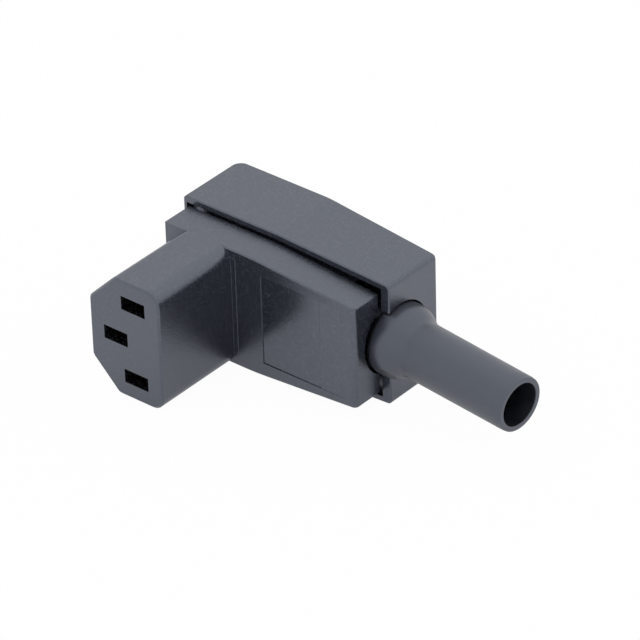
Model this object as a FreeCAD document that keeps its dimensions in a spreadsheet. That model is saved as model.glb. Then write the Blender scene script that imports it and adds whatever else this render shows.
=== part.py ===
import FreeCAD, Part
import Sketcher
import os

from types import SimpleNamespace

# A rewireable right-angle C13 power connector, lying on its side.
# Millimetres. The origin is on the mating face, midway between the line and neutral slots.
# +X runs to the cord, -Y points at the appliance inlet, +Z is up.

V = FreeCAD.Vector
doc = FreeCAD.newDocument("right_angle_c13_connector")

SIZES = {
    # The contact pattern of the standard inlet.
    "pole_pitch": 14.0,
    "earth_offset": 4.0,
    "slot_length": 5.0,
    "slot_width": 2.55,
    # The nose that enters the inlet.
    "nose_left": -9.5,
    "nose_right": 5.5,
    "nose_half": 11.1,
    "nose_reach": 17.8,
    "nose_chamfer": 5.5,
    "nose_corner_round": 2.5,
    "nose_chamfer_round": 1.4,
    "nose_face_chamfer": 0.35,
    "nose_front_wall": 1.8,
    # The tray behind the nose, which carries the terminals and half of the cord mouth.
    "tray_left": -8.4,
    "tray_right": 31.0,
    "tray_end_half": 9.5,
    "tray_depth": 6.05,
    "tray_wall": 1.5,
    "tray_floor": 1.7,
    "tray_end_round": 0.9,
    "tray_edge_round": 0.35,
    "wiring_end": 24.8,
    # Where the sides of the tray and the cover, and the cover's back, turn inwards.
    "bend_at": 9.7,
    "tray_bend_reach": 2.5,
    "cover_bend_reach": 1.0,
    "foot_edge": 6.4,
    "foot_half": 9.6,
    "foot_height": 0.06,
    # The shallow panel on the tray's front face.
    "panel_left": 11.65,
    "panel_right": 28.3,
    "panel_divide": 23.75,
    "panel_half": 8.4,
    "panel_depth": 0.15,
    "panel_step": 0.07,
    # The cover, which stands clear of the tray by the shadow gap.
    "shadow_gap": 0.4,
    "cover_left": -10.05,
    "cover_right": 33.0,
    "cover_half": 12.45,
    "cover_end_half": 11.3,
    "cover_depth": 14.1,
    "cover_end_depth": 12.4,
    "cover_wall": 1.8,
    "cover_back_wall": 2.0,
    "cover_corner_round": 0.9,
    "cover_far_round": 2.2,
    "cover_back_chamfer": 0.5,
    "cover_rim_chamfer": 0.2,
    "recess_side_wall": 1.1,
    "recess_end_wall": 0.75,
    "recess_end_gap": 0.3,
    "recess_depth": 1.2,
    "lip_reach": 1.65,
    "lip_thickness": 0.6,
    "lip_ledge": 1.5,
    "lip_clearance": 0.15,
    "ledge_root": 0.3,
    # The mouth that both halves share, and the groove inside it that traps the boot.
    "mouth_axis": 27.1,
    "mouth_radius": 6.7,
    "groove_radius": 7.45,
    "groove_start": 26.0,
    "groove_end": 29.4,
    "passage_radius": 4.3,
    # The boot.
    "boot_sit": 0.25,
    "boot_lean": 4.35,
    "boot_droop": 1.9,
    "boot_flange_radius": 7.0,
    "boot_flange_half": 1.0,
    "boot_neck_radius": 6.4,
    "boot_tube_radius": 4.83,
    "boot_bore_radius": 3.77,
    "boot_length": 31.1,
    "boot_end_chamfer": 0.2,
    "dome_sink": 0.4,
    "dome_length": 4.4,
    "dome_crest_at": 0.9,
    "dome_crest_drop": 0.15,
    "dome_turn_at": 2.3,
    "dome_turn_drop": 0.95,
    # The contacts and their chambers.
    "strip": 0.5,
    "sleeve_inside_length": 4.4,
    "sleeve_inside_width": 2.2,
    "sleeve_gap": 3.0,
    "sleeve_reach": 9.7,
    "seam": 0.3,
    "strap_inset": 0.5,
    "strap_overlap": 1.0,
    "chamber_clearance": 0.2,
    "terminal_shift": 0.5,
    "terminal_width": 5.0,
    "terminal_reach": 5.9,
    "barrier": 1.0,
    "barrier_height": 6.5,
    # How far a cut or a joining stub runs past the face that it has to reach.
    "overrun": 0.1,
    # Fasteners.
    "nut_thickness": 1.6,
    "nut_clearance": 0.05,
    "clamp_thickness": 0.8,
    "screw_radius": 1.25,
    "screw_head_radius": 2.1,
    "screw_head_height": 1.6,
    "screw_slot": 0.6,
    "screw_slot_depth": 0.8,
    "terminal_screw_length": 4.3,
    "thread_clearance": 0.04,
    "hole_clearance": 0.15,
    "cover_screw_at": 11.5,
    "cover_screw_radius": 1.5,
    "cover_screw_head_radius": 2.8,
    "cover_screw_head_height": 2.2,
    "cover_screw_length": 12.0,
    "cover_screw_socket": 1.6,
    "counterbore_clearance": 0.4,
    "boss_radius": 4.0,
    "boss_meet": 27.0,
    "insert_radius": 2.3,
    "insert_clearance": 0.02,
    "insert_length": 5.6,
    # The cord clamp.
    "clamp_left": 18.0,
    "clamp_length": 5.0,
    "clamp_seat": 25.2,
    "saddle_radius": 3.7,
    "bridge_inset": 0.3,
    "bridge_foot": 2.2,
    "bridge_arch_radius": 3.3,
    "bridge_arch_wall": 1.1,
    "bridge_blend": 0.6,
    "clamp_screw_pitch": 12.0,
    "clamp_screw_length": 6.1,
    "screw_tip_gap": 0.4,
}

sheet = doc.addObject("Spreadsheet::Sheet", "sizes")
for row, (alias, number) in enumerate(SIZES.items(), start=1):
    sheet.set("A%d" % row, alias)
    sheet.set("B%d" % row, str(number))
    sheet.setAlias("B%d" % row, alias)
doc.recompute()


class Size:
    """A number in millimetres, with the sheet formula that gives it."""

    def __init__(self, number, formula):
        self.number = number
        self.formula = formula

    def __add__(self, other):
        other = as_size(other)
        return Size(self.number + other.number, "(%s + %s)" % (self.formula, other.formula))

    def __sub__(self, other):
        other = as_size(other)
        return Size(self.number - other.number, "(%s - %s)" % (self.formula, other.formula))

    def __mul__(self, other):
        other = as_size(other)
        return Size(self.number * other.number, "(%s * %s)" % (self.formula, other.formula))

    def __truediv__(self, other):
        other = as_size(other)
        return Size(self.number / other.number, "(%s / %s)" % (self.formula, other.formula))

    def __radd__(self, other):
        return as_size(other) + self

    def __rsub__(self, other):
        return as_size(other) - self

    def __rmul__(self, other):
        return as_size(other) * self

    def __neg__(self):
        return Size(-self.number, "(-1 * %s)" % self.formula)


def as_size(value):
    if isinstance(value, Size):
        return value
    return Size(float(value), repr(float(value)))


s = SimpleNamespace(**{alias: Size(number, "sizes." + alias) for alias, number in SIZES.items()})


def bind(item, path, value):
    """Tie one property of an object to the sheet."""
    item.setExpression(path, as_size(value).formula)


def place(item, x, y, z):
    for path, value in (("x", x), ("y", y), ("z", z)):
        bind(item, "Placement.Base." + path, value)


# Sketches and features

def new_body(name):
    body = doc.addObject("PartDesign::Body", name)
    body.Label = name
    return body


def new_sketch(body, name, plane, offset=0.0):
    """A sketch on one of the body's origin planes, moved along that plane's normal."""
    support = [item for item in body.Origin.OriginFeatures if item.Role == plane][0]
    sketch = body.newObject("Sketcher::SketchObject", name)
    sketch.AttachmentSupport = [(support, "")]
    sketch.MapMode = "FlatFace"
    bind(sketch, "AttachmentOffset.Base.z", offset)
    doc.recompute()
    return sketch


def fix_point(sketch, curve, corner, point, label):
    """Hold one point of a curve at its two distances from the sketch's origin."""
    for kind, axis, value in (("DistanceX", "x", point[0]), ("DistanceY", "y", point[1])):
        value = as_size(value)
        index = sketch.addConstraint(
            Sketcher.Constraint(kind, -1, 1, curve, corner, value.number))
        name = "%s_%s" % (label, axis)
        sketch.renameConstraint(index, name)
        bind(sketch, "Constraints." + name, value)


def vector(point):
    return V(as_size(point[0]).number, as_size(point[1]).number, 0)


def outline(sketch, points, arcs=None, label="p"):
    """A closed outline. A side that is named in arcs bends through the point given there."""
    arcs = arcs or {}
    ends = []
    for side, start in enumerate(points):
        finish = points[(side + 1) % len(points)]
        if side in arcs:
            curve = sketch.addGeometry(
                Part.Arc(vector(start), vector(arcs[side]), vector(finish)), False)
        else:
            curve = sketch.addGeometry(Part.LineSegment(vector(start), vector(finish)), False)
        starts_here = (sketch.getPoint(curve, 1) - vector(start)).Length < 1e-6
        ends.append((curve, 1 if starts_here else 2, 2 if starts_here else 1))
    for side, (curve, first, last) in enumerate(ends):
        following = ends[(side + 1) % len(ends)]
        sketch.addConstraint(
            Sketcher.Constraint("Coincident", curve, last, following[0], following[1]))
    for side, (curve, first, last) in enumerate(ends):
        fix_point(sketch, curve, first, points[side], "%s%d" % (label, side))
        if side in arcs:
            guide = sketch.addGeometry(Part.Point(vector(arcs[side])), True)
            fix_point(sketch, guide, 1, arcs[side], "%s%d_bend" % (label, side))
            sketch.addConstraint(Sketcher.Constraint("PointOnObject", guide, 1, curve))


def circle(sketch, centre, radius, label="c"):
    radius = as_size(radius)
    curve = sketch.addGeometry(Part.Circle(vector(centre), V(0, 0, 1), radius.number), False)
    fix_point(sketch, curve, 3, centre, label)
    index = sketch.addConstraint(Sketcher.Constraint("Radius", curve, radius.number))
    sketch.renameConstraint(index, label + "_radius")
    bind(sketch, "Constraints.%s_radius" % label, radius)


def rectangle(sketch, left, bottom, right, top, label="r"):
    outline(sketch, [(left, bottom), (right, bottom), (right, top), (left, top)], label=label)


def pad(body, sketch, length, reverse=False, both_ways=False):
    feature = body.newObject("PartDesign::Pad", sketch.Name + "_pad")
    feature.Profile = sketch
    bind(feature, "Length", length)
    feature.Reversed = reverse
    if both_ways:
        feature.Midplane = True
    doc.recompute()
    return feature


def pocket(body, sketch, depth, reverse=False, both_ways=False):
    """Cut the sketch out of the body, and stop if nothing was cut."""
    before = body.Shape.Volume
    feature = body.newObject("PartDesign::Pocket", sketch.Name + "_pocket")
    feature.Profile = sketch
    bind(feature, "Length", depth)
    feature.Reversed = reverse
    if both_ways:
        feature.Midplane = True
    doc.recompute()
    if not body.Shape.Volume < before - 1e-6:
        raise RuntimeError("nothing was cut by " + sketch.Name)
    return feature


def edges_where(body, test):
    """Names of the body's edges for which the test holds."""
    return ["Edge%d" % (number + 1) for number, edge in enumerate(body.Shape.Edges) if test(edge)]


def fillet(body, name, edges, radius):
    base = body.Tip
    feature = body.newObject("PartDesign::Fillet", name)
    feature.Base = (base, edges)
    bind(feature, "Radius", radius)
    doc.recompute()
    return feature


def chamfer(body, name, edges, size):
    base = body.Tip
    feature = body.newObject("PartDesign::Chamfer", name)
    feature.Base = (base, edges)
    bind(feature, "Size", size)
    doc.recompute()
    return feature


def at(edge, x=None, y=None, z=None, slack=0.01):
    """True if the whole edge lies at each coordinate that is given."""
    box = edge.BoundBox
    spans = ((x, box.XMin, box.XMax), (y, box.YMin, box.YMax), (z, box.ZMin, box.ZMax))
    return all(want is None or (abs(low - want) < slack and abs(high - want) < slack)
               for want, low, high in spans)


# Places that several pieces share

tray_front = s.nose_reach
tray_back = tray_front + s.tray_depth
wiring_floor = tray_front + s.tray_floor
cover_front = tray_back + s.shadow_gap
poles = {
    "line": (as_size(0.0), s.pole_pitch / 2),
    "neutral": (as_size(0.0), -s.pole_pitch / 2),
    "earth": (-s.earth_offset, as_size(0.0)),
}
sleeve_half_length = s.sleeve_inside_length / 2 + s.strip
sleeve_half_width = s.sleeve_inside_width / 2 + s.strip
chamber_half_length = sleeve_half_length + s.chamber_clearance
chamber_half_width = sleeve_half_width + s.chamber_clearance
terminal_half = s.terminal_width / 2


tray_slope = (s.nose_half - s.tray_end_half) / (s.tray_right - s.bend_at)
cover_slope = (s.cover_half - s.cover_end_half) / (s.cover_right - s.bend_at)
tray_half_at_wiring_end = s.nose_half - tray_slope * (s.wiring_end - s.bend_at)
cover_half_at_wiring_end = s.cover_half - cover_slope * (s.wiring_end - s.bend_at)
# The cover's lip stands inside the tray's wall, and the cord clamp fits between its two sides.
rail_out = s.tray_wall + s.lip_clearance
rail_in = rail_out + s.lip_thickness
clamp_right = s.clamp_left + s.clamp_length
clamp_half = s.nose_half - tray_slope * (clamp_right - s.bend_at) - rail_in - s.lip_clearance


def tray_outline(sketch, inset, left, right, right_half):
    """The tray's outline drawn in by a wall: flat sides that turn inwards over a soft bend."""
    half = s.nose_half - inset
    bend_start = s.bend_at - s.tray_bend_reach
    bend_end = s.bend_at + s.tray_bend_reach
    after_bend = half - tray_slope * s.tray_bend_reach
    in_bend = half - tray_slope * s.tray_bend_reach / 4
    outline(sketch, [
        (left, -half), (bend_start, -half), (bend_end, -after_bend), (right, -right_half),
        (right, right_half), (bend_end, after_bend), (bend_start, half), (left, half),
    ], arcs={1: (s.bend_at, -in_bend), 5: (s.bend_at, in_bend)})


def cover_outline(sketch, left, right, half, right_half, label="p"):
    """An outline that follows the cover's two long sides, which turn inwards at the bend."""
    outline(sketch, [
        (left, -half), (s.bend_at, -half), (right, -right_half),
        (right, right_half), (s.bend_at, half), (left, half),
    ], label=label)


# Front housing: the nose, the tray and one half of the cord mouth, moulded in one

front = new_body("front_housing")

nose = new_sketch(front, "nose", "XZ_Plane")
chamfer_x = s.nose_left + s.nose_chamfer
chamfer_z = s.nose_half - s.nose_chamfer
outline(nose, [
    (s.nose_left, -chamfer_z), (chamfer_x, -s.nose_half), (s.nose_right, -s.nose_half),
    (s.nose_right, s.nose_half), (chamfer_x, s.nose_half), (s.nose_left, chamfer_z),
])
pad(front, nose, tray_back, reverse=True)
corner_x = s.nose_right.number
corner_z = s.nose_half.number
fillet(front, "nose_corner_rounds", edges_where(
    front, lambda edge: any(at(edge, x=corner_x, z=side * corner_z) for side in (-1, 1))),
    s.nose_corner_round)


def on_chamfer(edge):
    spots = [(s.nose_left.number, chamfer_z.number), (chamfer_x.number, corner_z)]
    return any(at(edge, x=x, z=side * z) for x, z in spots for side in (-1, 1))


fillet(front, "nose_chamfer_rounds", edges_where(front, on_chamfer), s.nose_chamfer_round)
chamfer(front, "nose_face_chamfer", edges_where(front, lambda edge: at(edge, y=0.0)),
        s.nose_face_chamfer)

tray = new_sketch(front, "tray", "XZ_Plane", -tray_front)
tray_outline(tray, 0, s.tray_left, s.tray_right, s.tray_end_half)
pad(front, tray, s.tray_depth, reverse=True)


def on_tray_end_front(edge):
    return at(edge, x=s.tray_right.number, y=tray_front.number)


def on_tray_long_front(edge):
    box = edge.BoundBox
    on_side = abs(box.ZMin + box.ZMax) > s.nose_half.number
    past_nose = box.XMin > chamfer_x.number and box.XMax > corner_x + s.overrun.number
    return at(edge, y=tray_front.number) and on_side and past_nose


fillet(front, "tray_end_round", edges_where(front, on_tray_end_front), s.tray_end_round)
fillet(front, "tray_edge_rounds", edges_where(front, on_tray_long_front), s.tray_edge_round)

wiring = new_sketch(front, "wiring_space", "XZ_Plane", -wiring_floor)
tray_outline(wiring, s.tray_wall, s.tray_left + s.tray_wall, s.wiring_end,
             tray_half_at_wiring_end - s.tray_wall)
pocket(front, wiring, s.tray_depth)

for pole, (pole_x, pole_z) in poles.items():
    slot = new_sketch(front, pole + "_slot", "XZ_Plane")
    rectangle(slot, pole_x - s.slot_length / 2, pole_z - s.slot_width / 2,
              pole_x + s.slot_length / 2, pole_z + s.slot_width / 2)
    pocket(front, slot, s.nose_front_wall + s.overrun)
    chamber = new_sketch(front, pole + "_chamber", "XZ_Plane", -s.nose_front_wall)
    rectangle(chamber, pole_x - chamber_half_length, pole_z - chamber_half_width,
              pole_x + chamber_half_length, pole_z + chamber_half_width)
    pocket(front, chamber, wiring_floor - s.nose_front_wall)
    seat = new_sketch(front, pole + "_nut_seat", "XZ_Plane", -(wiring_floor - s.nut_thickness))
    seat_half = terminal_half + s.nut_clearance
    rectangle(seat, pole_x - chamber_half_length, pole_z - seat_half,
              pole_x + s.terminal_shift + seat_half, pole_z + seat_half)
    pocket(front, seat, s.nut_thickness)

barrier_z = s.pole_pitch / 4
barrier_start = s.tray_wall + 2 * s.lip_clearance + s.lip_thickness
for side, label in ((1, "upper"), (-1, "lower")):
    wall = new_sketch(front, label + "_barrier", "XZ_Plane", -wiring_floor)
    rectangle(wall, s.tray_left + barrier_start, side * barrier_z - s.barrier / 2,
              s.terminal_shift + terminal_half, side * barrier_z + s.barrier / 2)
    pad(front, wall, s.barrier_height, reverse=True)

pillar = new_sketch(front, "cover_screw_pillar", "XZ_Plane", -wiring_floor)
circle(pillar, (s.cover_screw_at, 0), s.boss_radius)
pad(front, pillar, s.boss_meet - wiring_floor, reverse=True)
insert_hole = new_sketch(front, "insert_hole", "XZ_Plane", -(s.boss_meet - s.insert_length))
circle(insert_hole, (s.cover_screw_at, 0), s.insert_radius + s.insert_clearance)
pocket(front, insert_hole, s.insert_length + s.overrun)

saddle = new_sketch(front, "clamp_saddle", "XZ_Plane", -wiring_floor)
rectangle(saddle, s.clamp_left, -clamp_half, clamp_right, clamp_half)
pad(front, saddle, s.clamp_seat - wiring_floor, reverse=True)
for side, label in ((1, "upper"), (-1, "lower")):
    clamp_hole_depth = s.clamp_screw_length - s.bridge_foot + s.screw_tip_gap
    hole = new_sketch(front, label + "_clamp_hole", "XZ_Plane", -(s.clamp_seat - clamp_hole_depth))
    circle(hole, (s.clamp_left + s.clamp_length / 2, side * s.clamp_screw_pitch / 2),
           s.screw_radius + s.thread_clearance)
    pocket(front, hole, clamp_hole_depth + s.overrun)


def cut_mouth(body, prefix):
    """The cord's way out: a passage, the groove that traps the boot, and the round mouth."""
    stations = (
        ("passage", s.passage_radius, s.wiring_end - s.overrun, s.groove_start + s.overrun),
        ("groove", s.groove_radius, s.groove_start, s.groove_end),
        ("mouth", s.mouth_radius, s.groove_end - s.overrun, s.cover_right + s.overrun),
    )
    for label, radius, start, end in stations:
        ring = new_sketch(body, prefix + "_" + label, "YZ_Plane", start)
        circle(ring, (s.mouth_axis, 0), radius)
        pocket(body, ring, end - start, reverse=True)


cut_mouth(front, "front")
cord_bed = new_sketch(front, "cord_bed", "YZ_Plane", s.clamp_left - s.overrun)
circle(cord_bed, (s.mouth_axis, 0), s.saddle_radius)
pocket(front, cord_bed, s.clamp_length + 2 * s.overrun, reverse=True)

# A low foot runs along the nose where it meets the tray.
foot = new_sketch(front, "nose_foot", "XZ_Plane", -(tray_front - s.foot_height))
rectangle(foot, s.nose_right - s.nose_corner_round, -s.foot_half, s.foot_edge, s.foot_half)
pad(front, foot, s.foot_height + s.overrun, reverse=True)

panel = new_sketch(front, "panel", "XZ_Plane", -tray_front)
rectangle(panel, s.panel_left, -s.panel_half, s.panel_divide, s.panel_half)
pocket(front, panel, s.panel_depth)
panel_strip = new_sketch(front, "panel_strip", "XZ_Plane", -tray_front)
rectangle(panel_strip, s.panel_divide, -s.panel_half, s.panel_right, s.panel_half)
pocket(front, panel_strip, s.panel_depth - s.panel_step)


# Cover: the rear shell, whose back and two long sides turn inwards towards the cord

cover = new_body("rear_cover")
cover_back = cover_front + s.cover_depth
back_slope = (s.cover_depth - s.cover_end_depth) / (s.cover_right - s.bend_at)
cover_bend_start = s.bend_at - s.cover_bend_reach
cover_bend_end = s.bend_at + s.cover_bend_reach
side_view = new_sketch(cover, "cover_side_view", "XY_Plane")
outline(side_view, [
    (s.cover_left, cover_front), (s.cover_right, cover_front),
    (s.cover_right, cover_front + s.cover_end_depth),
    (cover_bend_end, cover_back - back_slope * s.cover_bend_reach),
    (cover_bend_start, cover_back), (s.cover_left, cover_back),
], arcs={3: (s.bend_at, cover_back - back_slope * s.cover_bend_reach / 4)})
pad(cover, side_view, 2 * s.cover_half, both_ways=True)

# What stands outside the tapered sides is cut away.
for side, label in ((1, "upper"), (-1, "lower")):
    trim = new_sketch(cover, label + "_taper", "XZ_Plane", -cover_front + s.overrun)
    outline(trim, [
        (cover_bend_start, side * s.cover_half),
        (cover_bend_end, side * (s.cover_half - cover_slope * s.cover_bend_reach)),
        (s.cover_right + s.overrun, side * (s.cover_end_half - cover_slope * s.overrun)),
        (s.cover_right + s.overrun, side * (s.cover_half + s.overrun)),
        (cover_bend_start, side * (s.cover_half + s.overrun)),
    ], arcs={0: (s.bend_at, side * (s.cover_half - cover_slope * s.cover_bend_reach / 4))})
    pocket(cover, trim, s.cover_depth + 2 * s.overrun)


def runs_deep(edge, x):
    """True for the edges between one end of the cover and its two sides."""
    box = edge.BoundBox
    return at(edge, x=x.number) and box.YLength > s.overrun.number and box.ZLength < 0.01


def on_cover_back(edge):
    box = edge.BoundBox
    behind = box.YMin > (cover_front + s.cover_wall + s.cover_back_wall).number
    seam = box.ZLength > s.cover_half.number and box.XMax < s.cover_right.number - 1
    return (behind and not seam) or runs_deep(edge, s.cover_left)


def on_cover_rim(edge):
    return at(edge, y=cover_front.number)


fillet(cover, "cover_far_round", edges_where(
    cover, lambda edge: at(edge, x=s.cover_left.number, y=cover_back.number)), s.cover_far_round)
fillet(cover, "cover_corner_rounds", edges_where(
    cover, lambda edge: runs_deep(edge, s.cover_right)), s.cover_corner_round)
chamfer(cover, "cover_back_chamfers", edges_where(cover, on_cover_back), s.cover_back_chamfer)
chamfer(cover, "cover_rim_chamfer", edges_where(cover, on_cover_rim), s.cover_rim_chamfer)

hollow = new_sketch(cover, "cover_hollow", "XZ_Plane", -cover_front)
hollow_left = s.cover_left + s.cover_wall
hollow_half = s.cover_half - s.cover_wall
hollow_end_half = cover_half_at_wiring_end - s.cover_wall
cover_outline(hollow, hollow_left, s.wiring_end, hollow_half, hollow_end_half)
hollow_depth = s.cover_depth - back_slope * (s.wiring_end - s.bend_at) - s.cover_back_wall
pocket(cover, hollow, hollow_depth)

# A recess leaves only a thin rim, which the tray's back edge stands inside.
recess = new_sketch(cover, "rim_recess", "XZ_Plane", -cover_front)
recess_right = s.tray_right + s.recess_end_gap
recess_half = s.cover_half - s.recess_side_wall
cover_outline(recess, s.cover_left + s.recess_end_wall, recess_right, recess_half,
              recess_half - cover_slope * (recess_right - s.bend_at))
pocket(cover, recess, s.recess_depth)
recess_floor = cover_front + s.recess_depth

boss = new_sketch(cover, "cover_screw_boss", "XZ_Plane", -s.boss_meet)
circle(boss, (s.cover_screw_at, 0), s.boss_radius)
pad(cover, boss, cover_front + hollow_depth + s.overrun - s.boss_meet, reverse=True)

screw_hole = new_sketch(cover, "cover_screw_hole", "XZ_Plane", -(s.boss_meet - s.overrun))
circle(screw_hole, (s.cover_screw_at, 0), s.cover_screw_radius + s.hole_clearance)
pocket(cover, screw_hole, s.cover_depth)
head_seat = cover_front + s.cover_depth - s.cover_screw_socket - s.cover_screw_head_height
counterbore = new_sketch(cover, "counterbore", "XZ_Plane", -head_seat)
circle(counterbore, (s.cover_screw_at, 0), s.cover_screw_head_radius + s.counterbore_clearance)
pocket(cover, counterbore, s.cover_screw_head_height + s.cover_screw_socket + s.overrun)

# A rail on three sides stands on a ledge inside the rim, enters the tray and closes the gap.
rail_inner = [
    (s.tray_left + rail_in, s.nose_half - rail_in), (s.bend_at, s.nose_half - rail_in),
    (s.wiring_end, tray_half_at_wiring_end - rail_in),
]


def rail(name, start, height, left, half, end_half):
    """A rail with the lip's inner face, and an outer face given by its left end and two half heights."""
    sketch = new_sketch(cover, name, "XZ_Plane", -start)
    below = [(left, -half), (s.bend_at, -half), (s.wiring_end, -end_half)]
    below += [(x, -inner_half) for x, inner_half in reversed(rail_inner)]
    outline(sketch, below + [(x, -z) for x, z in reversed(below)])
    pad(cover, sketch, height, reverse=True)


rail("lip_ledge", recess_floor, s.lip_ledge, hollow_left - s.ledge_root,
     hollow_half + s.ledge_root, hollow_end_half + s.ledge_root)
lip_length = s.lip_reach + s.recess_depth + s.overrun
rail("lip", cover_front - s.lip_reach, lip_length, s.tray_left + rail_out,
     s.nose_half - rail_out, tray_half_at_wiring_end - rail_out)

cut_mouth(cover, "cover")

# Boot: one soft moulding turned about its own leaning axis, with a flange, a dome and a tube

boot = new_body("bend_relief_boot")
boot_section = new_sketch(boot, "boot_section", "XZ_Plane")
flange_middle = (s.groove_start + s.groove_end) / 2
dome_start = s.cover_right - flange_middle - s.dome_sink
dome_end = dome_start + s.dome_length
outline(boot_section, [
    (-s.boot_flange_half, s.boot_bore_radius),
    (s.boot_length, s.boot_bore_radius),
    (s.boot_length, s.boot_tube_radius),
    (dome_end, s.boot_tube_radius),
    (dome_start + s.dome_turn_at, s.boot_neck_radius - s.dome_turn_drop),
    (dome_start + s.dome_crest_at, s.boot_neck_radius - s.dome_crest_drop),
    (dome_start, s.boot_neck_radius),
    (s.boot_flange_half, s.boot_neck_radius),
    (s.boot_flange_half, s.boot_flange_radius),
    (-s.boot_flange_half, s.boot_flange_radius),
])
turned = boot.newObject("PartDesign::Revolution", "boot_turned")
turned.Profile = boot_section
turned.ReferenceAxis = (boot_section, ["H_Axis"])
turned.Angle = 360
doc.recompute()


def on_tube_end(edge):
    box = edge.BoundBox
    outer = box.YLength > (s.boot_bore_radius + s.boot_tube_radius).number
    return outer and box.XMin > (s.boot_length - s.overrun).number


chamfer(boot, "boot_end_chamfer", edges_where(boot, on_tube_end), s.boot_end_chamfer)
place(boot, flange_middle, s.mouth_axis + s.boot_sit, 0)
lean = FreeCAD.Rotation(V(0, 0, 1), -s.boot_lean.number)
droop = FreeCAD.Rotation(V(0, 1, 0), s.boot_droop.number)
boot.Placement = FreeCAD.Placement(boot.Placement.Base, lean.multiply(droop))

# Contacts: one folded strip each, a sleeve for the pin and a tail for the terminal screw


def contact(name, pole_x, pole_z):
    body = new_body(name)
    sleeve_start = s.nose_front_wall + s.sleeve_gap
    sleeve = new_sketch(body, name + "_sleeve", "XZ_Plane", -sleeve_start)
    rectangle(sleeve, -sleeve_half_length, -sleeve_half_width, sleeve_half_length, sleeve_half_width)
    pad(body, sleeve, s.sleeve_reach, reverse=True)
    inside = new_sketch(body, name + "_inside", "XZ_Plane", -sleeve_start)
    rectangle(inside, -s.sleeve_inside_length / 2, -s.sleeve_inside_width / 2,
              s.sleeve_inside_length / 2, s.sleeve_inside_width / 2)
    pocket(body, inside, s.sleeve_reach)
    seam = new_sketch(body, name + "_seam", "XY_Plane", s.sleeve_inside_width / 2 - s.overrun)
    rectangle(seam, -s.seam / 2, sleeve_start - s.overrun,
              s.seam / 2, sleeve_start + s.sleeve_reach + s.overrun)
    pocket(body, seam, s.strip + 2 * s.overrun, reverse=True)
    strap = new_sketch(body, name + "_strap", "XY_Plane")
    rectangle(strap, -sleeve_half_length, sleeve_start + s.sleeve_reach - s.strap_overlap,
              -s.sleeve_inside_length / 2, wiring_floor + s.strip)
    pad(body, strap, 2 * (sleeve_half_width - s.strap_inset), both_ways=True)
    tail = new_sketch(body, name + "_tail", "XZ_Plane", -wiring_floor)
    rectangle(tail, -sleeve_half_length, -terminal_half,
              s.terminal_reach - sleeve_half_length, terminal_half)
    pad(body, tail, s.strip, reverse=True)
    hole = new_sketch(body, name + "_hole", "XZ_Plane", -(wiring_floor - s.overrun))
    circle(hole, (s.terminal_shift, 0), s.screw_radius + s.hole_clearance)
    pocket(body, hole, s.strip + 2 * s.overrun)
    place(body, pole_x, 0, pole_z)
    return body


# Turned and stamped hardware, drawn standing on +Z and laid along +Y

ALONG_DEPTH = FreeCAD.Rotation(V(1, 0, 0), -90)


def cylinder(name, radius, height, start=0.0):
    item = doc.addObject("Part::Cylinder", name)
    bind(item, "Radius", radius)
    bind(item, "Height", height)
    bind(item, "Placement.Base.z", start)
    return item


def block(name, length, width, height, start=0.0):
    """A block centred on the axis."""
    item = doc.addObject("Part::Box", name)
    for path, value in (("Length", length), ("Width", width), ("Height", height)):
        bind(item, path, value)
    place(item, -as_size(length) / 2, -as_size(width) / 2, start)
    return item


def join(kind, name, base, tool):
    item = doc.addObject(kind, name)
    item.Base = base
    item.Tool = tool
    return item


def lay(item, label, x, y, z):
    """Lay a finished piece along the depth, with its own zero at the given point."""
    item.Label = label
    item.Placement = FreeCAD.Placement(V(0, 0, 0), ALONG_DEPTH)
    place(item, x, y, z)
    return item


def slotted_screw(label, x, y, z, shank, head, head_height, length, slot, slot_depth):
    """A cheese head screw whose head sits on the plane y and whose shank points forward."""
    top = cylinder(label + "_head", head, head_height)
    stem = cylinder(label + "_shank", shank, length + s.overrun, -length)
    whole = join("Part::Fuse", label + "_blank", top, stem)
    groove = block(label + "_groove", 2 * (head + s.overrun), slot, slot_depth + s.overrun,
                   head_height - slot_depth)
    return lay(join("Part::Cut", label, whole, groove), label, x, y, z)


def drilled(label, blank, radius, height, x, y, z):
    bore = cylinder(label + "_bore", radius, height + 2 * s.overrun, -s.overrun)
    return lay(join("Part::Cut", label, blank, bore), label, x, y, z)


parts = [front, cover, boot]
for pole, (pole_x, pole_z) in poles.items():
    parts.append(contact(pole + "_contact", pole_x, pole_z))
    screw_x = pole_x + s.terminal_shift
    label = pole + "_terminal_nut"
    nut = block(label + "_blank", s.terminal_width, s.terminal_width, s.nut_thickness)
    parts.append(drilled(label, nut, s.screw_radius + s.thread_clearance, s.nut_thickness,
                         screw_x, wiring_floor - s.nut_thickness, pole_z))
    label = pole + "_wire_clamp"
    washer = block(label + "_blank", s.terminal_width, s.terminal_width, s.clamp_thickness)
    parts.append(drilled(label, washer, s.screw_radius + s.hole_clearance, s.clamp_thickness,
                         screw_x, wiring_floor + s.strip, pole_z))
    parts.append(slotted_screw(pole + "_terminal_screw", screw_x,
                               wiring_floor + s.strip + s.clamp_thickness, pole_z,
                               s.screw_radius, s.screw_head_radius, s.screw_head_height,
                               s.terminal_screw_length, s.screw_slot, s.screw_slot_depth))

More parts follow.
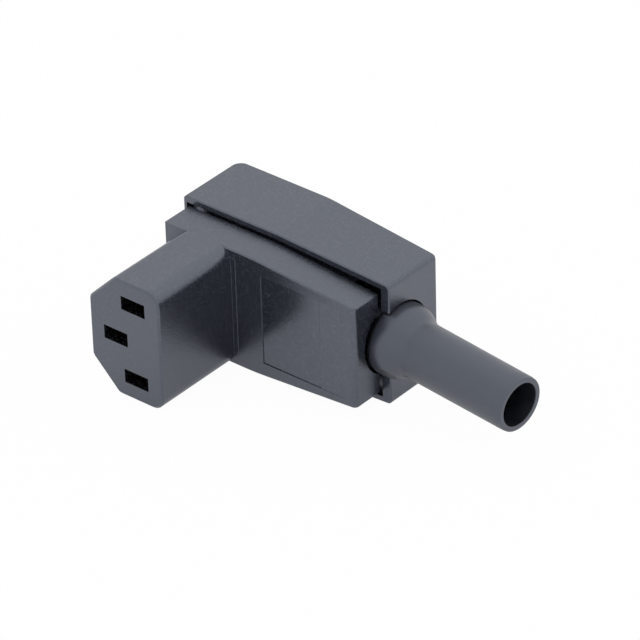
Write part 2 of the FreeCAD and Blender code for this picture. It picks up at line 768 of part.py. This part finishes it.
bridge = new_body("cord_clamp_bridge")
bridge_arch = s.bridge_arch_radius + s.bridge_arch_wall
side = new_sketch(bridge, "bridge_section", "YZ_Plane", s.clamp_left + s.bridge_inset)
seat_y = s.clamp_seat
foot_y = seat_y + s.bridge_foot
outline(side, [
    (seat_y, -clamp_half), (foot_y, -clamp_half), (foot_y, s.bridge_blend - bridge_arch),
    (foot_y, bridge_arch - s.bridge_blend), (foot_y, clamp_half), (seat_y, clamp_half),
    (seat_y, s.bridge_arch_radius), (seat_y, -s.bridge_arch_radius),
], arcs={
    2: (seat_y + bridge_arch, 0),
    6: (seat_y + s.bridge_arch_radius, 0),
})
pad(bridge, side, s.clamp_length - 2 * s.bridge_inset)
for turn, label in ((1, "upper"), (-1, "lower")):
    hole = new_sketch(bridge, label + "_bridge_hole", "XZ_Plane", -(seat_y - s.overrun))
    circle(hole, (s.clamp_left + s.clamp_length / 2, turn * s.clamp_screw_pitch / 2),
           s.screw_radius + s.hole_clearance)
    pocket(bridge, hole, s.bridge_foot + 2 * s.overrun)
    parts.append(slotted_screw("cord_clamp_screw_" + label,
                               s.clamp_left + s.clamp_length / 2, foot_y,
                               turn * s.clamp_screw_pitch / 2,
                               s.screw_radius, s.screw_head_radius, s.screw_head_height,
                               s.clamp_screw_length, s.screw_slot, s.screw_slot_depth))
parts.append(bridge)

insert = cylinder("cover_screw_insert_blank", s.insert_radius, s.insert_length)
parts.append(drilled("cover_screw_insert", insert, s.cover_screw_radius + s.thread_clearance,
                     s.insert_length, s.cover_screw_at, s.boss_meet - s.insert_length, 0))
parts.append(slotted_screw("cover_screw", s.cover_screw_at, head_seat, 0, s.cover_screw_radius,
                           s.cover_screw_head_radius, s.cover_screw_head_height,
                           s.cover_screw_length, s.screw_slot, s.screw_slot_depth))

# Every object has to be sound before anything is written

doc.recompute()
for item in doc.Objects:
    if "Invalid" in item.State or "Error" in item.State:
        raise RuntimeError("failed: %s %s" % (item.Name, item.getStatusString()))
for item in parts:
    if item.Shape.isNull() or not item.Shape.isValid():
        raise RuntimeError("bad shape: " + item.Label)

os.makedirs("parts", exist_ok=True)
for item in parts:
    item.Shape.exportStep("parts/%s.step" % item.Label)
    box = item.Shape.BoundBox
    print("%-26s solids %d  volume %8.1f mm3  x %.2f..%.2f  y %.2f..%.2f  z %.2f..%.2f" % (
        item.Label, len(item.Shape.Solids), item.Shape.Volume,
        box.XMin, box.XMax, box.YMin, box.YMax, box.ZMin, box.ZMax))
print(len(parts), "pieces")
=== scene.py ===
# %% [markdown]
# # A right-angle C13 connector in black plastic
#
# The real object is two satin black mouldings that close on each other, with a softer boot
# trapped in the mouth that they share. Its solids come ready made. This lesson dresses them:
# it gives every piece its finish, turns a finer boot, and lays a floor and soft light.

import math

import bmesh
import bpy
from mathutils import Matrix, Vector


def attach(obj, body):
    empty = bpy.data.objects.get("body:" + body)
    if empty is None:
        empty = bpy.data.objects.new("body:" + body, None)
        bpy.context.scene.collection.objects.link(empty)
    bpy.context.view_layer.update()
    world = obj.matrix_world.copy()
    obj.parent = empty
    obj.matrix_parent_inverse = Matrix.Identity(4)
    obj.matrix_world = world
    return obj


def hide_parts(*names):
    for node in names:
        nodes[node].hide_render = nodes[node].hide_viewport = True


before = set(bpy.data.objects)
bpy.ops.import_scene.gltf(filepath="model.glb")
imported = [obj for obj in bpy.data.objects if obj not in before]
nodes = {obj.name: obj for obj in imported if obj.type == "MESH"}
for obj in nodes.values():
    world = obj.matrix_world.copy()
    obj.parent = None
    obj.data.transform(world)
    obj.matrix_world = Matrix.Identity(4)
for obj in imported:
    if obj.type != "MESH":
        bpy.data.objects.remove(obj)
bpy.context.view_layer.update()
mm = 0.001
print("pieces loaded:", len(nodes))

# %% [markdown]
# ## The camera
#
# The connector was photographed with a long lens from above, in front of its mating face.
# Blender can aim a camera with a Track To constraint. Here the camera's three axes are built
# from the line of sight and a small roll, because a constraint would always keep it level.

# %% Set up the camera
EYE = Vector((457.07, -489.14, 440.59)) * mm
LINE_OF_SIGHT = Vector((-0.54374, 0.63647, -0.54703)).normalized()
ROLL = math.radians(-1.75)
FOCAL_LENGTH = 281.25
SENSOR_WIDTH = 36.0

level_right = LINE_OF_SIGHT.cross(Vector((0, 0, 1))).normalized()
level_up = level_right.cross(LINE_OF_SIGHT)
camera_right = level_right * math.cos(ROLL) + level_up * math.sin(ROLL)
camera_up = camera_right.cross(LINE_OF_SIGHT)

lens = bpy.data.cameras.new("long_lens")
lens.lens = FOCAL_LENGTH
lens.sensor_width = SENSOR_WIDTH
lens.clip_start = 0.01
lens.clip_end = 20.0
camera = bpy.data.objects.new("camera", lens)
bpy.context.scene.collection.objects.link(camera)
axes = Matrix((camera_right, camera_up, -LINE_OF_SIGHT)).transposed()
camera.matrix_world = Matrix.Translation(EYE) @ axes.to_4x4()
bpy.context.scene.camera = camera
print("camera stands %.0f mm from the mating face" % (EYE.length / mm))

# %% [markdown]
# ## The floor
#
# A connector that is put down on its side tips until it lies on one flat of its outline. The
# solids are upright in their own frame, so it is the floor that has to lean. The flat is
# found as a hand would find it: wrap the outer pieces in a tight skin, a convex hull, and
# take the side of that skin that lies straight under the weight.

# %% Find what the connector rests on
OUTER_PIECES = ["front_housing", "rear_cover", "bend_relief_boot"]


def centre_of_volume(names):
    total = 0.0
    middle = Vector()
    for name in names:
        solid = bmesh.new()
        solid.from_mesh(nodes[name].data)
        bmesh.ops.triangulate(solid, faces=solid.faces)
        for face in solid.faces:
            a, b, c = (corner.co for corner in face.verts)
            share = a.dot(b.cross(c)) / 6
            total += share
            middle += share * (a + b + c) / 4
        solid.free()
    return middle / total


def resting_face(names, weight):
    skin = bmesh.new()
    for name in names:
        for corner in nodes[name].data.vertices:
            skin.verts.new(corner.co)
    bmesh.ops.convex_hull(skin, input=skin.verts)
    best = None
    for face in skin.faces:
        if face.normal.z > -0.9:
            continue
        drop = (face.calc_center_median() - weight).dot(face.normal)
        foot = weight + drop * face.normal
        if bmesh.geometry.intersect_face_point(face, foot):
            if best is None or face.calc_area() > best[2]:
                best = (foot.copy(), face.normal.copy(), face.calc_area())
    skin.free()
    return best[0], best[1]


weight = centre_of_volume(OUTER_PIECES)
foot, floor_down = resting_face(OUTER_PIECES, weight)
lean = math.degrees(floor_down.angle(Vector((0, 0, -1))))
print("the weight is at", [round(v / mm, 1) for v in weight], "and the floor leans %.1f degrees" % lean)

# %% [markdown]
# A sheet of white card makes the floor. White card under a lamp is never quite white in a
# picture, and more light would lighten the plastic too. So what the camera sees of the card
# is nearly all glow. Reflections see it half glow and half matte: the matte half keeps the
# connector's shadow, and that shadow darkens the low faces.

# %% Lay the floor
CARD_SIDE = 6.0
CARD_CLEARANCE = 0.02
GLOW_IN_REFLECTIONS = 0.5
MORE_GLOW_IN_PICTURE = 0.47


def new_finish(name):
    finish = bpy.data.materials.new(name)
    finish.use_nodes = True
    return finish, finish.node_tree, finish.node_tree.nodes["Principled BSDF"]


def put(tree, kind, inputs=None, **settings):
    """Add a node. An input that is given another node's output is wired to it."""
    node = tree.nodes.new("ShaderNode" + kind)
    for name, value in settings.items():
        setattr(node, name, value)
    for name, value in (inputs or {}).items():
        if isinstance(value, bpy.types.NodeSocket):
            tree.links.new(value, node.inputs[name])
        else:
            node.inputs[name].default_value = value
    return node


def seen_directly(tree):
    """One for rays from the camera and for rays that a glossy or clear surface sends on."""
    path = put(tree, "LightPath")
    glossy = put(tree, "Math", {0: path.outputs["Is Camera Ray"], 1: path.outputs["Is Glossy Ray"]},
                 operation="MAXIMUM")
    return put(tree, "Math", {0: glossy.outputs[0], 1: path.outputs["Is Transmission Ray"]},
               operation="MAXIMUM").outputs[0]


card, tree, shader = new_finish("white_card")
shader.inputs["Base Color"].default_value = (0.95, 0.95, 0.95, 1)
shader.inputs["Roughness"].default_value = 0.9
shader.inputs["Specular IOR Level"].default_value = 0.1
glow = put(tree, "Emission", {"Color": (1, 1, 1, 1), "Strength": 1.0})
path = put(tree, "LightPath")
pale = put(tree, "Math", {0: path.outputs["Is Camera Ray"], 1: MORE_GLOW_IN_PICTURE},
           operation="MULTIPLY")
share = put(tree, "Math", {0: seen_directly(tree), 1: GLOW_IN_REFLECTIONS, 2: pale.outputs[0]},
            operation="MULTIPLY_ADD")
mixed = put(tree, "MixShader", {0: share.outputs[0], 1: shader.outputs[0], 2: glow.outputs[0]})
tree.links.new(mixed.outputs[0], tree.nodes["Material Output"].inputs["Surface"])

bpy.ops.mesh.primitive_plane_add(size=CARD_SIDE)
floor = bpy.context.object
floor.name = "floor"
floor.data.materials.append(card)
floor.rotation_euler = (-floor_down).to_track_quat("Z", "Y").to_euler()
floor.location = foot + floor_down * CARD_CLEARANCE * mm
print("card laid, %.0f m square" % CARD_SIDE)

# %% [markdown]
# ## The light
#
# Black plastic is drawn by what it reflects. A small lamp would leave one hard spot and black
# sides. A white room all around, with one large soft panel overhead, gives the even grey
# sheen of a light tent.

# %% Light it softly
TENT_LIGHT = 0.9
TENT_SEEN = 1.0
OVERHEAD_SIDE = 1.6
OVERHEAD_POWER = 1.0
OVERHEAD_PLACE = (0.15, 0.35, 0.9)
OVERHEAD_AIM = Vector((0.02, 0.02, 0))

world = bpy.data.worlds.new("light_tent")
world.use_nodes = True
bpy.context.scene.world = world
tree = world.node_tree
background = tree.nodes["Background"]
background.inputs["Color"].default_value = (1.0, 1.0, 1.0, 1.0)
seen = seen_directly(tree)
brightness = put(tree, "MapRange", {0: seen, 3: TENT_LIGHT, 4: TENT_SEEN})
tree.links.new(brightness.outputs[0], background.inputs["Strength"])

panel_light = bpy.data.lights.new("overhead_panel", "AREA")
panel_light.shape = "SQUARE"
panel_light.size = OVERHEAD_SIDE
panel_light.energy = OVERHEAD_POWER
overhead = bpy.data.objects.new("overhead_panel", panel_light)
bpy.context.scene.collection.objects.link(overhead)
overhead.location = OVERHEAD_PLACE
overhead.rotation_euler = (-overhead.location + OVERHEAD_AIM).to_track_quat("-Z", "Y").to_euler()
bpy.context.scene.view_settings.view_transform = "Standard"
print("lit by a white tent and a panel %.1f m wide" % OVERHEAD_SIDE)

# %% [markdown]
# ## Spark-textured housing
#
# The mould of such a housing is roughened by sparks, so the plastic comes out with a fine,
# even grain, its pits about a fifth of a millimetre across. One photograph of plastic would
# repeat on every face. Noise in the object's own millimetres never does, and it keeps its
# scale on both mouldings. Bumps hardly show on a face that mirrors one even white, so the
# colour has a grain too, twice as coarse. The Bevel node rounds the light on sharp edges.
# The panel on the tray's front is smoother, so its pits are weaker and it shines more.

# %% Make the housing finish


def in_millimetres(tree):
    place = put(tree, "TexCoord")
    return put(tree, "Mapping", {"Vector": place.outputs["Object"], "Scale": (1000, 1000, 1000)}).outputs[0]


def inside_box(tree, spot, low, high):
    """One where the spot lies between two corners, nought elsewhere."""
    axes = put(tree, "SeparateXYZ", {0: spot})
    inside = None
    for axis in range(3):
        middle = (low[axis] + high[axis]) / 2
        half = (high[axis] - low[axis]) / 2
        away = put(tree, "Math", {0: axes.outputs[axis], 1: middle}, operation="SUBTRACT")
        away = put(tree, "Math", {0: away.outputs[0]}, operation="ABSOLUTE")
        near = put(tree, "Math", {0: away.outputs[0], 1: half}, operation="LESS_THAN")
        inside = near.outputs[0] if inside is None else put(
            tree, "Math", {0: inside, 1: near.outputs[0]}, operation="MULTIPLY").outputs[0]
    return inside


PANEL_LOW = (11.65, 17.0, -8.4)
PANEL_HIGH = (28.3, 18.2, 8.4)
PITS_ON_PANEL = 0.2
ROUGHNESS_ON_PANEL = 0.75
HOUSING_IOR = 1.74
COOL_TINT = (0.76, 0.83, 1.0, 1)


def spark_textured_plastic(name, smooth_from=None, smooth_to=None):
    finish, tree, shader = new_finish(name)
    spot = in_millimetres(tree)
    grain = put(tree, "TexNoise", {"Vector": spot, "Scale": 2.2, "Detail": 3.0, "Roughness": 0.6})
    cloud = put(tree, "TexNoise", {"Vector": spot, "Scale": 0.18, "Detail": 2.0})
    pits = put(tree, "TexNoise", {"Vector": spot, "Scale": 4.5, "Detail": 2.0, "Roughness": 0.6})
    tone = put(tree, "MapRange", {0: grain.outputs["Fac"], 1: 0.5, 2: 0.76, 3: 0.0, 4: 1.0})
    colour = put(tree, "Mix", {0: tone.outputs[0], 6: (0.0004, 0.0005, 0.0007, 1),
                               7: (0.042, 0.045, 0.053, 1)}, data_type="RGBA")
    tree.links.new(colour.outputs[2], shader.inputs["Base Color"])
    gloss = put(tree, "MapRange", {0: cloud.outputs["Fac"], 1: 0.3, 2: 0.7, 3: 0.22, 4: 0.27})
    height = put(tree, "MapRange", {0: pits.outputs["Fac"], 1: 0.3, 2: 0.7, 3: 0.0, 4: 1.0})
    relief = height.outputs[0]
    sheen = gloss.outputs[0]
    if smooth_from:
        panel = inside_box(tree, spot, smooth_from, smooth_to)
        calm = put(tree, "MapRange", {0: panel, 3: 1.0, 4: PITS_ON_PANEL})
        relief = put(tree, "Math", {0: relief, 1: calm.outputs[0]}, operation="MULTIPLY").outputs[0]
        polish = put(tree, "MapRange", {0: panel, 3: 1.0, 4: ROUGHNESS_ON_PANEL})
        sheen = put(tree, "Math", {0: sheen, 1: polish.outputs[0]}, operation="MULTIPLY").outputs[0]
    tree.links.new(sheen, shader.inputs["Roughness"])
    edge = put(tree, "Bevel", {"Radius": 0.08 * mm}, samples=6)
    bump = put(tree, "Bump", {"Strength": 0.45, "Distance": 0.035 * mm, "Height": relief,
                              "Normal": edge.outputs[0]})
    tree.links.new(bump.outputs[0], shader.inputs["Normal"])
    shader.inputs["IOR"].default_value = HOUSING_IOR
    shader.inputs["Specular IOR Level"].default_value = 1.0
    shader.inputs["Specular Tint"].default_value = COOL_TINT
    return finish


def dress(names, finish):
    for name in names:
        piece = nodes[name]
        for slot in piece.material_slots:
            slot.material = finish
        if not piece.material_slots:
            piece.data.materials.append(finish)
    print(finish.name, "on", len(names), "pieces")


dress(["front_housing"], spark_textured_plastic("housing_plastic", PANEL_LOW, PANEL_HIGH))
dress(["rear_cover"], spark_textured_plastic("cover_plastic"))

# %% [markdown]
# ## The bend relief boot
#
# The boot is one soft moulding, round about its own axis: a flange that the housing traps, a
# neck, a dome that shows outside the mouth, and a plain tube. It could be sculpted, but a
# round piece is turned: its half outline is drawn once and spun. The axis leans towards the
# mating side and droops a little, because the soft flange lets it.

# %% Turn the boot
BOOT_ROOT = Vector((27.7, 27.45, 0.18)) * mm
BOOT_LEAN = math.radians(-4.6)
BOOT_DROOP = math.radians(2.25)
BOOT_TURN = Matrix.Rotation(BOOT_LEAN, 4, "Z") @ Matrix.Rotation(BOOT_DROOP, 4, "Y")


def smooth_through(points, steps=8):
    """A soft line through given points, eased at each of them."""
    ends = [points[0]] + points + [points[-1]]
    line = []
    for a, b, c, d in zip(ends, ends[1:], ends[2:], ends[3:]):
        for step in range(steps):
            t = step / steps
            line.append(tuple(
                0.5 * (2 * q + (r - p) * t + (2 * p - 5 * q + 4 * r - s) * t * t
                       + (3 * q - p - 3 * r + s) * t ** 3)
                for p, q, r, s in zip(a, b, c, d)))
    return line + [points[-1]]


def round_corner(before, corner, after, radius, steps=6):
    """Points on a small arc that takes the place of a sharp corner of an outline."""
    corner = Vector(corner)
    back = (Vector(before) - corner).normalized()
    on = (Vector(after) - corner).normalized()
    reach = radius / math.tan(back.angle(on) / 2)
    middle = corner + (back + on).normalized() * radius / math.sin(back.angle(on) / 2)
    start = corner + back * reach - middle
    finish = corner + on * reach - middle
    spokes = [start.lerp(finish, step / steps).normalized() * radius for step in range(steps + 1)]
    return [tuple(middle + spoke) for spoke in spokes]


def spin(name, outline, turns=256):
    """Spin a closed half outline, in millimetres along and out from the axis, about X."""
    mesh = bpy.data.meshes.new(name)
    form = bmesh.new()
    rings = []
    for along, out in outline:
        ring = []
        for turn in range(turns):
            angle = 2 * math.pi * turn / turns
            ring.append(form.verts.new((along * mm, out * math.cos(angle) * mm, out * math.sin(angle) * mm)))
        rings.append(ring)
    for number, ring in enumerate(rings):
        following = rings[(number + 1) % len(rings)]
        for turn in range(turns):
            after = (turn + 1) % turns
            form.faces.new((ring[turn], ring[after], following[after], following[turn]))
    bmesh.ops.recalc_face_normals(form, faces=form.faces)
    for face in form.faces:
        face.smooth = True
    form.to_mesh(mesh)
    form.free()
    piece = bpy.data.objects.new(name, mesh)
    bpy.context.scene.collection.objects.link(piece)
    return piece


BORE = 3.77
FLANGE = 6.9
FLANGE_BACK = -1.0
FLANGE_FRONT = 1.0
FLANGE_ROUND = 0.25
NECK = 5.7
TUBE_START = 10.6
TUBE_ROOT = 4.87
TUBE_STRIDE = 2.0
DROP_PER_STRIDE = 0.0088
STEP_FROM = 30.4
STEP_TO = 30.55
ABOVE_STEP = 4.785
TUBE_RIM = 4.72
TUBE_END = 31.07
dome = smooth_through([(2.8, NECK), (3.3, 5.84), (3.8, 6.18), (4.5, 6.42), (5.6, 6.46), (6.6, 6.37),
                       (7.4, 6.1), (8.3, 5.62), (9.1, 5.14), (9.8, 4.93), (TUBE_START, TUBE_ROOT)])
half_outline = (
    [(FLANGE_BACK, BORE)]
    + round_corner((FLANGE_BACK, BORE), (FLANGE_BACK, FLANGE), (FLANGE_FRONT, FLANGE), FLANGE_ROUND)
    + round_corner((FLANGE_BACK, FLANGE), (FLANGE_FRONT, FLANGE), (FLANGE_FRONT, NECK), FLANGE_ROUND)
    + [(FLANGE_FRONT, NECK), (2.0, NECK)]
    + dome
    + [(TUBE_START + step * TUBE_STRIDE, TUBE_ROOT - step * DROP_PER_STRIDE) for step in range(1, 10)]
    + [(STEP_FROM, ABOVE_STEP), (STEP_TO, TUBE_RIM)]
    + round_corner((STEP_TO, TUBE_RIM), (TUBE_END, TUBE_RIM), (TUBE_END, BORE), 0.2)
    + round_corner((TUBE_END, TUBE_RIM), (TUBE_END, BORE), (28.0, BORE), 0.15)
    + [(28.0, BORE), (20.0, BORE), (10.0, BORE)]
)
boot = spin("bend_relief_sleeve", half_outline)

# %% [markdown]
# The real boot has a flat place low on its dome, which is pressed only shallowly here. Cutting
# it with a boolean would leave a ragged rim on so fine a mesh. Pressing every point that
# stands beyond the flat back onto it gives the same facet, and the rows of faces stay in order.

# %% Press the flat into the dome
FLAT_FACES = Vector((0.23, -0.76, -0.61)).normalized()
FLAT_AT = 7.38 * mm
DOME_FROM = 3.0 * mm
DOME_TO = 10.0 * mm

pressed = 0
for corner in boot.data.vertices:
    beyond = corner.co.dot(FLAT_FACES) - FLAT_AT
    if beyond > 0 and DOME_FROM < corner.co.x < DOME_TO:
        corner.co -= FLAT_FACES * beyond
        pressed += 1
print("points pressed onto the flat:", pressed)
boot.data.transform(Matrix.Translation(BOOT_ROOT) @ BOOT_TURN)
print("boot turned:", len(boot.data.polygons), "faces")

# %% [markdown]
# The boot's softer plastic shows less grain than the hard housing, and its highlights spread
# wider. Shading could be painted into its colour, but that would fit one light only. So its
# bumps are weaker, its roughness is higher, and a broad noise moves the roughness slowly
# along the tube.

# %% Give the boot its finish
BOOT_IOR = 1.68


def soft_boot_plastic(name):
    finish, tree, shader = new_finish(name)
    spot = in_millimetres(tree)
    grain = put(tree, "TexNoise", {"Vector": spot, "Scale": 2.4, "Detail": 3.0, "Roughness": 0.55})
    cloud = put(tree, "TexNoise", {"Vector": spot, "Scale": 0.25, "Detail": 2.0})
    tone = put(tree, "MapRange", {0: cloud.outputs["Fac"], 1: 0.3, 2: 0.7, 3: 0.0, 4: 1.0})
    colour = put(tree, "Mix", {0: tone.outputs[0], 6: (0.007, 0.0075, 0.009, 1), 7: (0.012, 0.013, 0.016, 1)},
                 data_type="RGBA")
    tree.links.new(colour.outputs[2], shader.inputs["Base Color"])
    gloss = put(tree, "MapRange", {0: cloud.outputs["Fac"], 1: 0.3, 2: 0.7, 3: 0.33, 4: 0.41})
    tree.links.new(gloss.outputs[0], shader.inputs["Roughness"])
    bump = put(tree, "Bump", {"Strength": 0.5, "Distance": 0.04 * mm, "Height": grain.outputs["Fac"]})
    tree.links.new(bump.outputs[0], shader.inputs["Normal"])
    shader.inputs["IOR"].default_value = BOOT_IOR
    shader.inputs["Specular IOR Level"].default_value = 1.0
    shader.inputs["Specular Tint"].default_value = COOL_TINT
    return finish


boot_finish = soft_boot_plastic("boot_rubber")
boot.data.materials.append(boot_finish)
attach(boot, "root")
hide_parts("bend_relief_boot")
print(boot_finish.name, "on", boot.name)

# %% [markdown]
# ## The hidden hardware
#
# Inside are plain black clamp parts, brass contacts and zinc plated screws. They are seen
# only through the slots, the boot and the screw's hole, but a buyer may open the cover. The
# brass gets its look from fine lengthwise marks, made by noise that is stretched one way. On
# the steel pieces the noise is even, because a plated surface shows no drawing marks.

# %% Make the inner finishes
ALONG_THE_CONTACT = (1000, 120, 1000)
EVEN = (900, 900, 900)


def plain_clamp_plastic(name):
    finish, tree, shader = new_finish(name)
    spot = in_millimetres(tree)
    grain = put(tree, "TexNoise", {"Vector": spot, "Scale": 1.5, "Detail": 3.0})
    tone = put(tree, "MapRange", {0: grain.outputs["Fac"], 1: 0.3, 2: 0.7, 3: 0.0, 4: 1.0})
    colour = put(tree, "Mix", {0: tone.outputs[0], 6: (0.02, 0.02, 0.022, 1), 7: (0.03, 0.03, 0.033, 1)},
                 data_type="RGBA")
    tree.links.new(colour.outputs[2], shader.inputs["Base Color"])
    gloss = put(tree, "MapRange", {0: grain.outputs["Fac"], 1: 0.3, 2: 0.7, 3: 0.38, 4: 0.5})
    tree.links.new(gloss.outputs[0], shader.inputs["Roughness"])
    edge = put(tree, "Bevel", {"Radius": 0.15 * mm}, samples=4)
    bump = put(tree, "Bump", {"Strength": 0.2, "Distance": 0.02 * mm, "Height": grain.outputs["Fac"],
                              "Normal": edge.outputs[0]})
    tree.links.new(bump.outputs[0], shader.inputs["Normal"])
    return finish


def worked_metal(name, dark, light, smooth, rough, stretch):
    finish, tree, shader = new_finish(name)
    place = put(tree, "TexCoord")
    spot = put(tree, "Mapping", {"Vector": place.outputs["Object"], "Scale": stretch}).outputs[0]
    marks = put(tree, "TexNoise", {"Vector": spot, "Scale": 2.0, "Detail": 4.0, "Roughness": 0.6})
    tone = put(tree, "MapRange", {0: marks.outputs["Fac"], 1: 0.3, 2: 0.7, 3: 0.0, 4: 1.0})
    colour = put(tree, "Mix", {0: tone.outputs[0], 6: dark, 7: light}, data_type="RGBA")
    tree.links.new(colour.outputs[2], shader.inputs["Base Color"])
    gloss = put(tree, "MapRange", {0: marks.outputs["Fac"], 1: 0.3, 2: 0.7, 3: smooth, 4: rough})
    tree.links.new(gloss.outputs[0], shader.inputs["Roughness"])
    edge = put(tree, "Bevel", {"Radius": 0.12 * mm}, samples=4)
    bump = put(tree, "Bump", {"Strength": 0.15, "Distance": 0.01 * mm, "Height": marks.outputs["Fac"],
                              "Normal": edge.outputs[0]})
    tree.links.new(bump.outputs[0], shader.inputs["Normal"])
    shader.inputs["Metallic"].default_value = 1.0
    return finish


dress(["cord_clamp_bridge"], plain_clamp_plastic("clamp_plastic"))
brass = worked_metal("contact_brass", (0.62, 0.44, 0.2, 1), (0.78, 0.6, 0.32, 1), 0.22, 0.36,
                     ALONG_THE_CONTACT)
steel = worked_metal("screw_steel", (0.5, 0.5, 0.49, 1), (0.68, 0.68, 0.66, 1), 0.25, 0.4, EVEN)
dress([name for name in nodes if name.endswith("_contact")] + ["cover_screw_insert"], brass)
dress([name for name in nodes if name.endswith(("_nut", "_wire_clamp", "_terminal_screw"))]
      + ["cord_clamp_screw_upper", "cord_clamp_screw_lower", "cover_screw"], steel)
